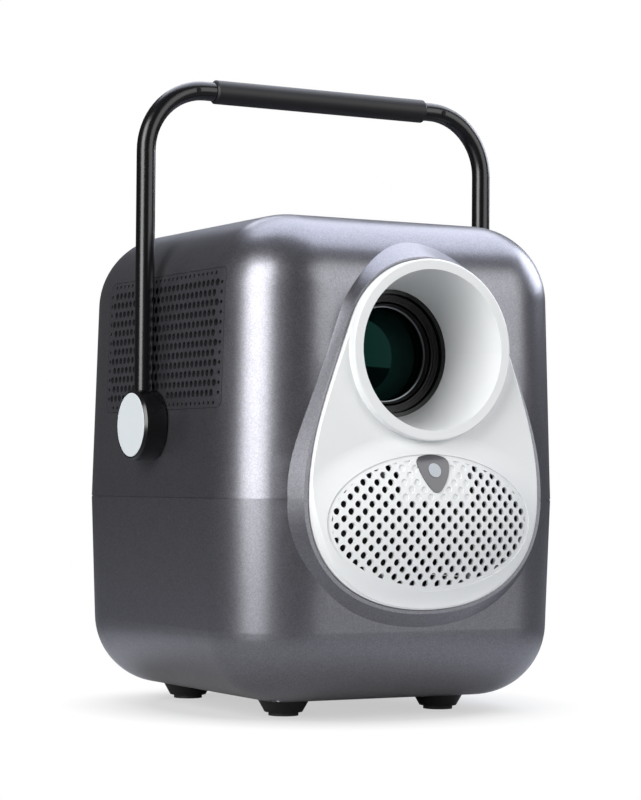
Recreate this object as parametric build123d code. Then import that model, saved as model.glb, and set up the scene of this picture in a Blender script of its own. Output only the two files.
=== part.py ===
from build123d import *
import os
from math import atan2, cos, degrees, pi, radians, sin, sqrt, tan

# A portable projector with a tray disc drive. Millimetres. +Z is up and the lens looks along -Y.
# The origin is on the floor, in the middle of the whole object's footprint.

# ---- driving dimensions: case ----
case_width = 198.6
case_depth = 222.5
case_top = 255.8
case_floor = 8.6
seam_height = 111.2
wall = 2.6
window_depth = 8.0
corner_radius = 46.0
upper_draft = 1.65
lower_draft = 2.1
top_round = 41.0
bottom_round = 37.9
seam_gap = 0.4
seam_groove = 0.5

# ---- nose, white panel and hood ----
hood_proud = 10.1
panel_proud = 5.0
lip_proud = 3.1
lens_height = 186.2
belly_height = 112.0
hood_radius = 45.8
hood_wall = 5.3
panel_half_width = 66.6
panel_bottom = 56.1
panel_wall = 2.5
panel_seat = 3.5
panel_gap = 0.45
lip_top = 1.5
lip_side = 2.9
lip_bottom = 2.2
flare_depth = 20.0
flare_top = 10.3
flare_side = 11.6
flare_bottom = 24.8
bell_height = 10.8
bell_half_width = 75.0
bell_half_height = 44.5
bell_centre = 100.2
bell_crown = 0.66
bell_foot = 0.78
bell_skirt = 6.0
bell_bevel = 2.4
panel_chamfer = 0.8
egg_shoulder_angle = 20.0
egg_fullness = 0.62
egg_side_pull = 28.0
egg_shoulder_pull = 45.0
seat_ledge = 3.6
funnel_depth = 42.0
funnel_end_radius = 33.1
funnel_wall = 2.2

# ---- speaker field and sensor ----
field_centre = 98.2
field_half_width = 59.0
field_half_height = 34.2
field_middle = 99.8
field_border = 2.4
field_hole = 1.75
field_row_pitch = 3.585
field_rows_up = 9
field_rows_down = 8
field_inset = 0.6
dimple_depth = 0.6
pick_half_width = 9.6
pick_top = 131.5
pick_bottom = 117.2
pick_margin = 8.5
pick_low_margin = 7.0
pick_corner = 3.5
pick_bow = 2.2
pick_thickness = 5.0
eye_height = 126.0
eye_radius = 3.5
eye_proud = 0.15
part_gap = 0.15
speaker_offset = 27.0
speaker_radius = 26.0
speaker_ring = 3.5
speaker_boss = 1.75
speaker_boss_rows = 7
speaker_depth = 24.0

# ---- side vents ----
vent_front = -71.9
vent_length = 136.0
vent_bottom = 156.5
vent_height = 70.2
vent_corner = 4.0
vent_wall = 2.2
vent_gap = 0.2
vent_rows = 14
vent_hole = 1.8
vent_edge_hole = 0.95
vent_margin = 2.4
filter_thickness = 2.5
filter_inset = 3.0

# ---- handle ----
handle_plane = 3.0
pivot_height = 148.7
leg_offset = 104.0
bar_height = 326.7
tube_radius = 5.0
tube_wall = 1.2
tube_bend = 34.0
grip_radius = 6.35
grip_length = 129.7
pin_offset = 76.0
pin_radius = 1.25
hub_radius = 18.5
hub_face = 111.3
hub_gap = 0.3
boss_face = 98.7
boss_radius = 16.5
cap_radius = 16.7
cap_thickness = 1.8
cap_proud = 0.2
stud_radius = 5.0
running_gap = 0.05
stud_head_radius = 8.0
stud_head_inner = 106.0
stud_head_thickness = 2.6
stud_flange = 10.0
stud_flange_thickness = 4.0
tube_socket_start = 9.5

# ---- feet ----
foot_x = 46.5
foot_y = 56.1
foot_centre_y = 9.2
foot_top_radius = 13.6
foot_low_radius = 9.8
pad_radius = 7.75
pad_thickness = 1.9

# ---- lens and light engine ----
cell_radius = 31.0
barrel_wall = 3.0
barrel_back = -14.0
barrel_face_radius = 36.0
front_glass_radius = 24.7
front_glass_y = -64.0
rear_glass_radius = 20.0
gear_module = 1.0
ring_teeth = 80
pinion_teeth = 12
gear_front = -60.0
gear_width = 7.0
mesh_angle = 225.0
motor_radius = 8.0
engine_half_width = 51.0
engine_half_height = 38.0
engine_back = 72.0
engine_wall = 2.0
optic_gap = 0.2
engine_boss_radius = 4.0
sink_half_width = 38.0
sink_half_height = 32.0
sink_back = 106.0
sink_fins = 14
sink_fin = 1.4

# ---- fans ----
fan_size = 60.0
fan_thickness = 15.0
fan_outer_plane = 90.4
fan_duct = 28.5
fan_y = 30.0
fan_z = 191.0
rotor_radius = 27.6
rotor_hub = 12.0
rotor_length = 11.0
rotor_bore = 3.0
rotor_blades = 7

# ---- disc drive ----
drive_bottom = 50.0
drive_height = 17.0
drive_sheet = 0.8
drive_left = -36.0
drive_right = 90.0
drive_mid_y = 13.5
drive_half_width = 64.5
rail_thickness = 1.4
rail_height = 6.0
slide_gap = 0.3
tray_front = 94.5
tray_bottom = 52.0
tray_height = 10.0
tray_end_gap = 3.2
disc_x = 31.5
disc_recess_radius = 61.0
disc_recess_depth = 4.5
disc_floor = 2.0
turntable_radius = 14.0
turntable_bore_radius = 15.5
disc_hub_radius = 7.4
works_reach = 62.0
sled_length = 14.0
sled_lens_radius = 3.5
sled_read_radius = 24.3
nut_length = 6.0
nut_reach = 22.5
sled_half_width = 17.0
rod_radius = 1.05
rod_offset = 13.5
screw_radius = 0.9
screw_offset = 20.0
bezel_margin = 2.0
bezel_gap = 0.4
button_width = 9.0
button_height = 3.6
button_travel = 1.0

# ---- rear ports, boards and controls ----
psu_left = -85.0
psu_right = -40.0
psu_front = -48.0
psu_back = 48.0
psu_level = 26.0
port_half_width = 68.0
port_gap = 0.2
port_bottom = 53.0
port_top = 97.0
port_inner_plane = 112.4
board_level = 58.0
board_thickness = 1.6
board_front = 82.0
board_back = 110.0
board_half_width = 62.0
inlet_x = -52.0
switch_x = -24.0
socket_level = 78.0
port_face = 114.2
key_pitch = 18.0
key_radius = 6.5
key_proud = 0.8
key_gap = 0.2
key_plate_width = 98.0
key_plate_depth = 24.0
key_plate_thickness = 2.0
key_plate_y = 34.0
key_travel = 0.8

# ---- fasteners ----
post_radius = 5.6
front_post_inset = 36.0
back_post_inset = 31.0
post_web_width = 2.4
screw_shank = 1.35
thread_hole = 1.4
screw_head = 2.9
screw_head_height = 2.4
screw_tunnel = 3.4
screw_bridge = 8.0

# ---- derived places ----
total_depth = case_depth + hood_proud
rim_y = -total_depth / 2
front_y = rim_y + hood_proud
back_y = total_depth / 2
mid_y = (front_y + back_y) / 2
panel_y = front_y - panel_proud
lip_y = front_y - lip_proud
seat_y = panel_y + panel_proud + panel_seat - lip_proud
funnel_end_y = rim_y + funnel_depth
post_places = [(sx * (case_width / 2 - inset), y) for sx in (-1, 1)
               for inset, y in ((front_post_inset, front_y + front_post_inset),
                                (back_post_inset, back_y - back_post_inset))]
tray_back = drive_left + drive_sheet + tray_end_gap
crown_y = panel_y - bell_height
centring = -(crown_y + field_inset + back_y) / 2

parts = {}


def cylinder_y(x, z, radius, y_from, y_to):
    """A round bar along Y between two planes."""
    plane = Plane(origin=(x, y_from, z), x_dir=(1, 0, 0), z_dir=(0, 1, 0))
    return extrude(plane * Circle(radius), amount=y_to - y_from)


def cylinder_x(y, z, radius, x_from, x_to):
    """A round bar along X between two planes."""
    plane = Plane(origin=(x_from, y, z), x_dir=(0, 1, 0), z_dir=(1, 0, 0))
    return extrude(plane * Circle(radius), amount=x_to - x_from)


def cylinder_z(x, y, radius, z_from, z_to):
    """An upright round bar between two levels."""
    return extrude(Plane.XY.offset(z_from) * Pos(x, y) * Circle(radius), amount=z_to - z_from)


def block(x_from, x_to, y_from, y_to, z_from, z_to):
    """A box given by its six faces."""
    size = (x_to - x_from, y_to - y_from, z_to - z_from)
    middle = ((x_from + x_to) / 2, (y_from + y_to) / 2, (z_from + z_to) / 2)
    return Pos(*middle) * Box(*size)


def mirrored(shape):
    """The same piece on the other side of the middle plane."""
    return mirror(shape, about=Plane.YZ)


def upper_form(inset):
    """The upper half of the case as a full solid, moved in by an even amount."""
    outline = RectangleRounded(case_width - 2 * inset, case_depth - 2 * inset, corner_radius - inset)
    form = extrude(outline, amount=case_top - seam_height - inset, taper=upper_draft)
    form = fillet(form.faces().sort_by(Axis.Z)[-1].edges(), top_round - inset)
    return Pos(0, mid_y, seam_height) * form


def lower_form(inset):
    """The lower half of the case as a full solid, moved in by an even amount."""
    outline = RectangleRounded(case_width - 2 * inset, case_depth - 2 * inset, corner_radius - inset)
    form = extrude(outline, amount=seam_height - case_floor - inset, taper=lower_draft)
    form = fillet(form.faces().sort_by(Axis.Z)[-1].edges(), bottom_round - inset)
    return Pos(0, mid_y, seam_height) * mirror(form, about=Plane.XY)


def egg(top_radius, half_width, bottom, plane_y):
    """A teardrop face: a round top about the lens axis that widens to a full belly."""
    turn = radians(egg_shoulder_angle)
    shoulder = (top_radius * cos(turn), lens_height + top_radius * sin(turn))
    pull = (shoulder[0] + egg_shoulder_pull * sin(turn), shoulder[1] - egg_shoulder_pull * cos(turn))
    low_pull = belly_height - egg_fullness * (belly_height - bottom)

    def at(x, z):
        return Vector(x, plane_y, z)

    edges = []
    for side in (1, -1):
        low = [(0, bottom), (egg_fullness * half_width, bottom), (half_width, low_pull),
               (half_width, belly_height)]
        high = [(half_width, belly_height), (half_width, belly_height + egg_side_pull), pull, shoulder]
        edges += [Bezier(*[at(side * x, z) for x, z in points]) for points in (low, high)]
    crown = [at(shoulder[0], shoulder[1]), at(0, lens_height + top_radius), at(-shoulder[0], shoulder[1])]
    edges.append(ThreePointArc(*crown))
    return Face(Wire(edges))


def egg_prism(grow, y_from, y_to):
    """A straight plug with the white panel's outline, grown by an even amount."""
    face = egg(hood_radius + grow, panel_half_width + grow, panel_bottom - grow, y_from)
    return extrude(face, amount=y_to - y_from, dir=(0, 1, 0))


def nose(inset):
    """The raised nose that slopes from deep inside the case up to the lip round the white panel."""
    top = hood_radius + lip_top - inset
    side = panel_half_width + lip_side - inset
    low = panel_bottom - lip_bottom + inset
    lip_face = egg(top, side, low, lip_y + inset)
    root_face = egg(top + flare_top, side + flare_side, low - flare_bottom, lip_y + flare_depth)
    return loft([lip_face, root_face], ruled=True)


def outer_shape(inset):
    """Both halves of the painted outside: the case with its nose, as two full solids."""
    big = case_width
    above = block(-big, big, -big, big, seam_height, 2 * case_top)
    below = block(-big, big, -big, big, -case_top, seam_height)
    return upper_form(inset) + (nose(inset) & above), lower_form(inset) + (nose(inset) & below)


def box_tool(x_from, x_to, y_from, y_to, z_from, z_to, radius, axis):
    """A window cutter with rounded corners, running along X, Y or Z."""
    if axis == "x":
        middle = (x_from, (y_from + y_to) / 2, (z_from + z_to) / 2)
        plane = Plane(origin=middle, x_dir=(0, 1, 0), z_dir=(1, 0, 0))
        return extrude(plane * RectangleRounded(y_to - y_from, z_to - z_from, radius), amount=x_to - x_from)
    if axis == "y":
        middle = ((x_from + x_to) / 2, y_from, (z_from + z_to) / 2)
        plane = Plane(origin=middle, x_dir=(-1, 0, 0), z_dir=(0, 1, 0))
        return extrude(plane * RectangleRounded(x_to - x_from, z_to - z_from, radius), amount=y_to - y_from)
    plane = Plane(origin=((x_from + x_to) / 2, (y_from + y_to) / 2, z_from))
    return extrude(plane * RectangleRounded(x_to - x_from, y_to - y_from, radius), amount=z_to - z_from)


def vent_tool(grow):
    """The left side window for the vent grille, grown by an even amount."""
    return box_tool(-case_width, window_depth - case_width / 2,
                    vent_front - grow, vent_front + vent_length + grow,
                    vent_bottom - grow, vent_bottom + vent_height + grow, vent_corner + grow, "x")


def bezel_tool(grow, x_from):
    """The right side window for the tray bezel, grown by an even amount."""
    half = drive_half_width + bezel_margin
    return box_tool(x_from, case_width, drive_mid_y - half - grow, drive_mid_y + half + grow,
                    drive_bottom - grow, drive_bottom + drive_height + grow, 1.5 + grow, "x")


def port_tool(grow, y_from):
    """The rear window for the port plate, grown by an even amount."""
    return box_tool(-port_half_width - grow, port_half_width + grow, y_from, case_depth,
                    port_bottom - grow, port_top + grow, 4.0 + grow, "y")


def key_tool(grow, z_from):
    """The top window for the key plate, grown by an even amount."""
    half_x = key_plate_width / 2 + grow
    half_y = key_plate_depth / 2 + grow
    return box_tool(-half_x, half_x, key_plate_y - half_y, key_plate_y + half_y, z_from, 2 * case_top,
                    5.0 + grow, "z")


def post_web(x, y, z_from, z_to):
    """A thin web from a corner post out to the corner of the case."""
    centre_x = (case_width / 2 - corner_radius) * (1 if x > 0 else -1)
    centre_y = mid_y + (case_depth / 2 - corner_radius) * (1 if y > mid_y else -1)
    run = Vector(x - centre_x, y - centre_y).normalized()
    middle = Vector(x, y) + run * corner_radius / 2
    web = Box(corner_radius, post_web_width, z_to - z_from)
    angle = degrees(atan2(run.Y, run.X))
    return Pos(middle.X, middle.Y, (z_from + z_to) / 2) * Rot(0, 0, angle) * web


# ---- case shells ----
outside_upper, outside_lower = outer_shape(0.0)
groove_upper, groove_lower = outer_shape(seam_groove)
reach = case_width
seam_slab = block(-reach, reach, -reach, reach, seam_height - seam_gap / 2, seam_height + seam_gap / 2)
groove_ring = seam_slab - groove_upper - groove_lower
hollow = upper_form(wall) + lower_form(wall)
panel_hole = egg_prism(panel_gap, 2 * rim_y, seat_y)
panel_hole = panel_hole + egg_prism(-seat_ledge, 2 * rim_y, front_y + corner_radius / 2)

stud_hole = cylinder_x(handle_plane, pivot_height, stud_radius + 4 * running_gap, -reach, reach)
pivot_boss = cylinder_x(handle_plane, pivot_height, boss_radius, -boss_face, window_depth - case_width / 2)
pivot_boss = pivot_boss - upper_form(wall)
boss_notch = cylinder_x(handle_plane, pivot_height, boss_radius + vent_gap, -case_width, 0)
vent_hole_tool = vent_tool(vent_gap) - cylinder_x(handle_plane, pivot_height, boss_radius, -case_width, 0)

engine_top = lens_height + engine_half_height
engine_boss_x = engine_half_width - engine_boss_radius
engine_boss_ys = (barrel_back + 2 * engine_boss_radius, engine_back - 2 * engine_boss_radius)
upper_case = outside_upper - hollow - panel_hole - groove_ring
upper_case = upper_case - vent_hole_tool - mirrored(vent_hole_tool)
upper_case = upper_case + pivot_boss + mirrored(pivot_boss) - stud_hole
upper_case = upper_case - key_tool(key_gap, case_top - wall - 1.0)
for x in (-engine_boss_x, engine_boss_x):
    for y in engine_boss_ys:
        upper_case = upper_case + cylinder_z(x, y, engine_boss_radius, engine_top, case_top - wall / 2)
for x, y in post_places:
    post = (cylinder_z(x, y, post_radius, seam_height, seam_height + 24.0)
            + post_web(x, y, seam_height, seam_height + 24.0)) & outside_upper
    upper_case = upper_case + post - cylinder_z(x, y, thread_hole, seam_height - 1.0, seam_height + 14.0)
parts["upper_case"] = upper_case

lower_case = outside_lower - hollow - panel_hole - groove_ring
lower_case = lower_case - bezel_tool(bezel_gap, case_width / 2 - window_depth)
lower_case = lower_case - port_tool(port_gap, back_y - window_depth)
support = [(x, y, drive_bottom, 4.0) for x in (drive_left + 6, drive_right - 8)
           for y in (drive_mid_y - drive_half_width + 6, drive_mid_y + drive_half_width - 6)]
support += [(sx * (board_half_width - 5), y, board_level, 3.5) for sx in (-1, 1) for y in (board_front + 5,)]
support += [(x, y, psu_level, 3.5) for x in (psu_left + 5, psu_right - 5)
            for y in (psu_front + 5, psu_back - 5)]
for x, y, level, radius in support:
    lower_case = lower_case + (cylinder_z(x, y, radius, case_floor, level) & outside_lower)
for x, y in post_places:
    post = (cylinder_z(x, y, post_radius, case_floor, seam_height)
            + post_web(x, y, case_floor, seam_height)) & outside_lower
    tunnel = cylinder_z(x, y, screw_tunnel, -1.0, seam_height - screw_bridge)
    lower_case = lower_case + post - tunnel - cylinder_z(x, y, screw_shank + 0.3, -1.0, seam_height + 1.0)
foot_places = [(sx * foot_x, foot_centre_y + sy * foot_y) for sx in (-1, 1) for sy in (-1, 1)]
parts["lower_case"] = lower_case

screw_seat = seam_height - screw_bridge
screws = [cylinder_z(x, y, screw_head, screw_seat - screw_head_height, screw_seat)
          + cylinder_z(x, y, screw_shank, screw_seat, seam_height + 12.0) for x, y in post_places]
parts["case_screws"] = Compound(children=screws)

# ---- white front panel ----
def pick(grow):
    """The sensor window's outline: a rounded triangle that points down."""
    corners = [(-pick_half_width, pick_top), (pick_half_width, pick_top), (0, pick_bottom - pick_corner)]
    edges = []
    for first, second in zip(corners, corners[1:] + corners[:1]):
        middle = ((first[0] + second[0]) / 2, (first[1] + second[1]) / 2)
        length = sqrt((second[0] - first[0]) ** 2 + (second[1] - first[1]) ** 2)
        normal = (-(second[1] - first[1]) / length, (second[0] - first[0]) / length)
        bulge = (middle[0] + pick_bow * normal[0], middle[1] + pick_bow * normal[1])
        edges.append(ThreePointArc((first[0], first[1]), bulge, (second[0], second[1])))
    face = Face(Wire(edges))
    face = fillet(face.vertices(), pick_corner)
    face = face if grow == 0 else offset(face, grow)
    return Plane(origin=(0, 0, 0), x_dir=(1, 0, 0), z_dir=(0, -1, 0)) * face


def pick_prism(grow, y_from, y_to):
    """A plug with the sensor window's outline between two planes."""
    return extrude(Pos(0, y_from, 0) * pick(grow), amount=y_to - y_from, dir=(0, 1, 0))


def bell(shift):
    """The front panel's domed belly as a full solid, moved back by an even amount."""
    crown = [(0, bell_height), (bell_crown * bell_half_height, bell_height),
             (bell_foot * bell_half_height, 0), (bell_half_height, 0)]
    curve = Bezier(*[Vector(0, panel_y + shift - depth, bell_centre + r) for r, depth in crown])
    skirt = Polyline((0, panel_y + shift, bell_centre + bell_half_height),
                     (0, panel_y + shift + bell_skirt, bell_centre + bell_half_height),
                     (0, panel_y + shift + bell_skirt, bell_centre), (0, crown_y + shift, bell_centre))
    dome = revolve(Face(Wire([curve] + list(skirt.edges()))), axis=Axis((0, 0, bell_centre), (0, 1, 0)))
    return scale(dome, by=(bell_half_width / bell_half_height, 1, 1))


def field_oval(shrink, y_from, y_to):
    """An upright oval plug the size of the speaker field."""
    plane = Plane(origin=(0, y_to, field_middle), x_dir=(1, 0, 0), z_dir=(0, -1, 0))
    return extrude(plane * Ellipse(field_half_width - shrink, field_half_height - shrink), amount=y_to - y_from)


def field_places():
    """Hole centres of the speaker field: staggered rows that reach past the oval's edge."""
    places = []
    columns = int(field_half_width / (2 * field_row_pitch)) + 1
    for row in range(-field_rows_down, field_rows_up + 1):
        stagger = 0 if row % 2 else 1
        for step in range(-columns, columns + 1):
            places.append(((2 * step + stagger) * field_row_pitch, field_centre + row * field_row_pitch))
    return places


def near_pick(x, z):
    """True where the panel round the sensor window has only shallow dimples."""
    top_row = field_centre + (field_rows_up - 0.5) * field_row_pitch
    return z > top_row or (abs(x) < pick_half_width + pick_margin and z > pick_bottom - pick_low_margin)


def clear_of_pick(x, z):
    """True where a dimple doesn't run into the sensor window."""
    reach_at = pick_half_width * min(1.0, (z - pick_bottom + pick_corner) / (pick_top - pick_bottom))
    return z < pick_bottom - field_hole or abs(x) > reach_at + field_hole


def turned_y(profile):
    """A solid of revolution about the lens axis from points (radius, y)."""
    points = [(radius, y, lens_height) for radius, y in profile]
    face = Face(Wire(Polyline(*points, close=True)))
    return revolve(face, axis=Axis((0, 0, lens_height), (0, 1, 0)))


plate = egg(hood_radius, panel_half_width, panel_bottom, panel_y)
front_panel = extrude(plate, amount=seat_y - panel_y, dir=(0, 1, 0))
front_panel = front_panel - egg_prism(-seat_ledge, panel_y + panel_wall, seat_y + 1.0)
front_panel = chamfer(front_panel.faces().sort_by(Axis.Y)[0].outer_wire().edges(), panel_chamfer)
bevel_from = egg(hood_radius - panel_chamfer, panel_half_width - panel_chamfer,
                 panel_bottom + panel_chamfer, panel_y)
bevel_grow = panel_chamfer + bell_bevel
bevel_to = egg(hood_radius - bevel_grow, panel_half_width - bevel_grow,
               panel_bottom + bevel_grow, panel_y - bell_bevel)
bell_plug = (loft([bevel_from, bevel_to], ruled=True) + extrude(bevel_to, amount=bell_height, dir=(0, -1, 0))
             + extrude(bevel_from, amount=panel_wall / 2, dir=(0, 1, 0)))
inner_bell = bell(panel_wall)
front_panel = front_panel + (bell(0) & bell_plug)
front_panel = front_panel - (inner_bell & egg_prism(-seat_ledge, 2 * rim_y, seat_y + 1.0))
front_panel = front_panel - (field_oval(0, 2 * rim_y, panel_y + field_inset) - bell(field_inset))
hood = cylinder_y(0, lens_height, hood_radius, rim_y, panel_y + panel_wall)
hood = fillet(hood.edges().filter_by(GeomType.CIRCLE).sort_by(Axis.Y)[0], 1.0)
funnel_profile = [(0, 2 * rim_y), (hood_radius - hood_wall, 2 * rim_y), (hood_radius - hood_wall, rim_y),
                  (funnel_end_radius, funnel_end_y), (0, funnel_end_y)]
neck_radius = hood_radius - seat_ledge - panel_gap
sleeve_profile = [(0, panel_y), (neck_radius, panel_y), (neck_radius, seat_y),
                  (funnel_end_radius + funnel_wall, funnel_end_y), (0, funnel_end_y)]
front_panel = front_panel + hood + turned_y(sleeve_profile) - turned_y(funnel_profile)
front_panel = front_panel - pick_prism(part_gap, 2 * rim_y, 0)

boss_reach = speaker_boss_rows * field_row_pitch
boss_places = [(sx * boss_reach, field_centre + sz * boss_reach) for sx in (-1, 1) for sz in (-1, 1)]
basket_y = panel_y + panel_wall
for x, z in boss_places:
    front_panel = front_panel + (cylinder_y(x, z, speaker_boss, crown_y, basket_y) & bell(panel_wall / 2))
hole_plane = Plane(origin=(0, seat_y, 0), x_dir=(1, 0, 0), z_dir=(0, -1, 0))
hole_clip = Pos(0, field_middle) * Ellipse(field_half_width - field_border, field_half_height - field_border)
open_places = [place for place in field_places() if not near_pick(*place)]
hole_sketch = (Sketch() + [Pos(x, z) * Circle(field_hole) for x, z in open_places]) & hole_clip
front_panel = front_panel - extrude(hole_plane * hole_sketch, amount=seat_y - 2 * rim_y)
dimples = [place for place in field_places() if near_pick(*place) and clear_of_pick(*place)]
dimple_sketch = (Sketch() + [Pos(x, z) * Circle(field_hole) for x, z in dimples]) & hole_clip
front_panel = front_panel - (extrude(hole_plane * dimple_sketch, amount=seat_y - 2 * rim_y)
                             - bell(field_inset + dimple_depth))
parts["front_panel"] = front_panel

window = (pick_prism(0, 2 * rim_y, 0) & bell(panel_gap / 2)) - bell(pick_thickness)
eye = cylinder_y(0, eye_height, eye_radius, 2 * rim_y, 0) & bell(-eye_proud)
parts["sensor_window"] = window - cylinder_y(0, eye_height, eye_radius, 2 * rim_y, 0)
parts["sensor_lens"] = eye - bell(panel_wall)

# ---- speakers behind the field ----
baskets, cones = [], []
for side in (-1, 1):
    x = side * speaker_offset
    rim = cylinder_y(x, field_centre, speaker_radius, basket_y, basket_y + 1.5)
    rim = rim - cylinder_y(x, field_centre, speaker_radius - speaker_ring, basket_y - 1, basket_y + 2)
    profile_plane = Axis((x, 0, field_centre), (0, 1, 0))
    basket_points = [(speaker_radius - 1.0, basket_y + 1.5), (11.0, basket_y + 14.0), (10.0, basket_y + 14.0),
                     (speaker_radius - 2.2, basket_y + 1.4)]
    basket_face = Face(Wire(Polyline(*[(x + r, y, field_centre) for r, y in basket_points], close=True)))
    basket = revolve(basket_face, axis=profile_plane)
    magnet = cylinder_y(x, field_centre, 14.0, basket_y + 14.0, basket_y + speaker_depth)
    baskets.append(rim + basket + magnet)
    cone_edge = speaker_radius - speaker_ring - 0.1
    cone_points = [(cone_edge, basket_y + 0.6), (cone_edge, basket_y + 1.2),
                   (8.0, basket_y + 11.0), (0.0, basket_y + 9.0), (0.0, basket_y + 8.4), (8.0, basket_y + 10.2)]
    cone_face = Face(Wire(Polyline(*[(x + r, y, field_centre) for r, y in cone_points], close=True)))
    cones.append(revolve(cone_face, axis=profile_plane))
parts["speaker_frames"] = Compound(children=baskets)
parts["speaker_cones"] = Compound(children=cones)

# ---- side vents with filters ----
def vent_holes():
    """Staggered rows of round holes, smaller along the border of the field."""
    pitch = (vent_height - 2 * vent_margin) / (vent_rows - 1)
    columns = int((vent_length - 2 * vent_margin) / pitch)
    start = (vent_length - columns * pitch) / 2
    holes = []
    for row in range(vent_rows):
        for column in range(columns + 1):
            at_edge = row in (0, vent_rows - 1) or column in (0, columns)
            stagger = 0.25 if row % 2 else -0.25
            shift = 0 if column in (0, columns) else stagger * pitch
            in_corner = row in (0, vent_rows - 1) and column in (0, columns)
            along = start + column * pitch + shift
            above = vent_margin + row * pitch
            boss_distance = sqrt((vent_front + along - handle_plane) ** 2
                                 + (vent_bottom + above - pivot_height) ** 2)
            if not in_corner and boss_distance > boss_radius + vent_margin:
                holes.append((along, above, vent_edge_hole if at_edge else vent_hole))
    return holes


def make_vent():
    """One perforated side insert that follows the drafted case wall."""
    corner = Plane(origin=(-case_width, vent_front, vent_bottom), x_dir=(0, 1, 0), z_dir=(1, 0, 0))
    sheet = Pos(vent_length / 2, vent_height / 2) * RectangleRounded(vent_length, vent_height, vent_corner)
    sheet = sheet - [Pos(u, v) * Circle(r) for u, v, r in vent_holes()]
    plug = extrude(corner * sheet, amount=case_width) - boss_notch
    return (plug & upper_form(0.0)) - upper_form(vent_wall)


left_vent = make_vent()
parts["left_vent_grille"] = left_vent
parts["right_vent_grille"] = mirrored(left_vent)
filter_pad = box_tool(-case_width, 0, vent_front + filter_inset, vent_front + vent_length - filter_inset,
                      vent_bottom + filter_inset, vent_bottom + vent_height - filter_inset, vent_corner, "x")
filter_pad = (filter_pad - boss_notch) & upper_form(vent_wall)
filter_pad = filter_pad - upper_form(vent_wall + filter_thickness)
parts["dust_filters"] = Compound(children=[filter_pad, mirrored(filter_pad)])

# ---- fans ----
fan_inner_plane = fan_outer_plane - fan_thickness


def make_fan_frame():
    """A square fan frame with a round duct, a spider and the fixed shaft."""
    half = fan_size / 2
    frame = block(-fan_outer_plane, -fan_inner_plane, fan_y - half, fan_y + half, fan_z - half, fan_z + half)
    frame = frame - cylinder_x(fan_y, fan_z, fan_duct, -fan_outer_plane - 1, -fan_inner_plane + 1)
    spider_from = -fan_inner_plane - 1.5
    plate_disc = cylinder_x(fan_y, fan_z, rotor_hub, spider_from, -fan_inner_plane)
    arms = block(spider_from, -fan_inner_plane, fan_y - half + 1, fan_y + half - 1, fan_z - 1.5, fan_z + 1.5)
    arms += block(spider_from, -fan_inner_plane, fan_y - 1.5, fan_y + 1.5, fan_z - half + 1, fan_z + half - 1)
    shaft = cylinder_x(fan_y, fan_z, rotor_bore, spider_from - rotor_length, -fan_inner_plane)
    return frame + plate_disc + arms + shaft


def make_rotor():
    """A fan rotor: a cup with pitched blades round a bore that runs on the fixed shaft."""
    outer = -fan_inner_plane - 1.5 - slide_gap - rotor_length
    inner = -fan_inner_plane - 1.5 - slide_gap
    rotor = cylinder_x(fan_y, fan_z, rotor_hub, outer, inner)
    reach_blade = rotor_radius - rotor_hub + 1.0
    middle = (outer + inner) / 2
    for number in range(rotor_blades):
        blade = Rot(0, 0, 40) * Box(rotor_length - 2.0, 1.2, reach_blade)
        blade = Pos(0, 0, rotor_hub - 1.0 + reach_blade / 2) * blade
        rotor = rotor + Pos(middle, fan_y, fan_z) * Rot(number * 360.0 / rotor_blades, 0, 0) * blade
    return rotor - cylinder_x(fan_y, fan_z, rotor_bore + running_gap, outer - 1, inner + 1)


fan_frame = make_fan_frame()
parts["fan_frames"] = Compound(children=[fan_frame, mirrored(fan_frame)])
left_rotor = make_rotor()
parts["left_fan_rotor"] = left_rotor
parts["right_fan_rotor"] = mirrored(left_rotor)

# ---- handle, built on the left and mirrored ----
leg_start = pivot_height + tube_socket_start
handle_path = FilletPolyline((-leg_offset, handle_plane, leg_start), (-leg_offset, handle_plane, bar_height),
                             (leg_offset, handle_plane, bar_height), (leg_offset, handle_plane, leg_start),
                             radius=tube_bend)
ring = Circle(tube_radius) - Circle(tube_radius - tube_wall)
tube = sweep(Plane(origin=(-leg_offset, handle_plane, leg_start)) * ring, path=handle_path)
bend_angle = (pin_offset - (leg_offset - tube_bend)) / tube_bend
pin_height = bar_height - tube_bend * (1 - cos(bend_angle))
pin_front = handle_plane - tube_radius
pins = [cylinder_y(side * pin_offset, pin_height, pin_radius, pin_front - 0.3, pin_front + tube_wall)
        for side in (-1, 1)]
for pin in pins:
    tube = tube - pin
parts["handle_tube"] = tube
parts["grip_pins"] = Compound(children=pins)
grip = cylinder_x(handle_plane, bar_height, grip_radius, -grip_length / 2, grip_length / 2)
grip = chamfer(grip.edges().filter_by(GeomType.CIRCLE), 0.8)
grip = grip - cylinder_x(handle_plane, bar_height, tube_radius, -grip_length, grip_length)
parts["handle_grip"] = grip


def make_hub():
    """The left pivot puck, which holds the tube's end and turns on the stud."""
    inner = boss_face + hub_gap
    hub = cylinder_x(handle_plane, pivot_height, hub_radius, -hub_face, -inner)
    hub = chamfer(hub.edges().filter_by(GeomType.CIRCLE).sort_by(Axis.X)[0], 1.2)
    hub = hub - cylinder_x(handle_plane, pivot_height, stud_radius + running_gap, -hub_face, -inner + 1)
    hub = hub - cylinder_x(handle_plane, pivot_height, stud_head_radius + 0.2, -hub_face,
                           -stud_head_inner + 0.1)
    cap_floor = hub_face + cap_proud - cap_thickness
    hub = hub - cylinder_x(handle_plane, pivot_height, cap_radius + 0.1, -hub_face - 1, -cap_floor)
    return hub - cylinder_z(-leg_offset, handle_plane, tube_radius, leg_start, pivot_height + 2 * hub_radius)


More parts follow.
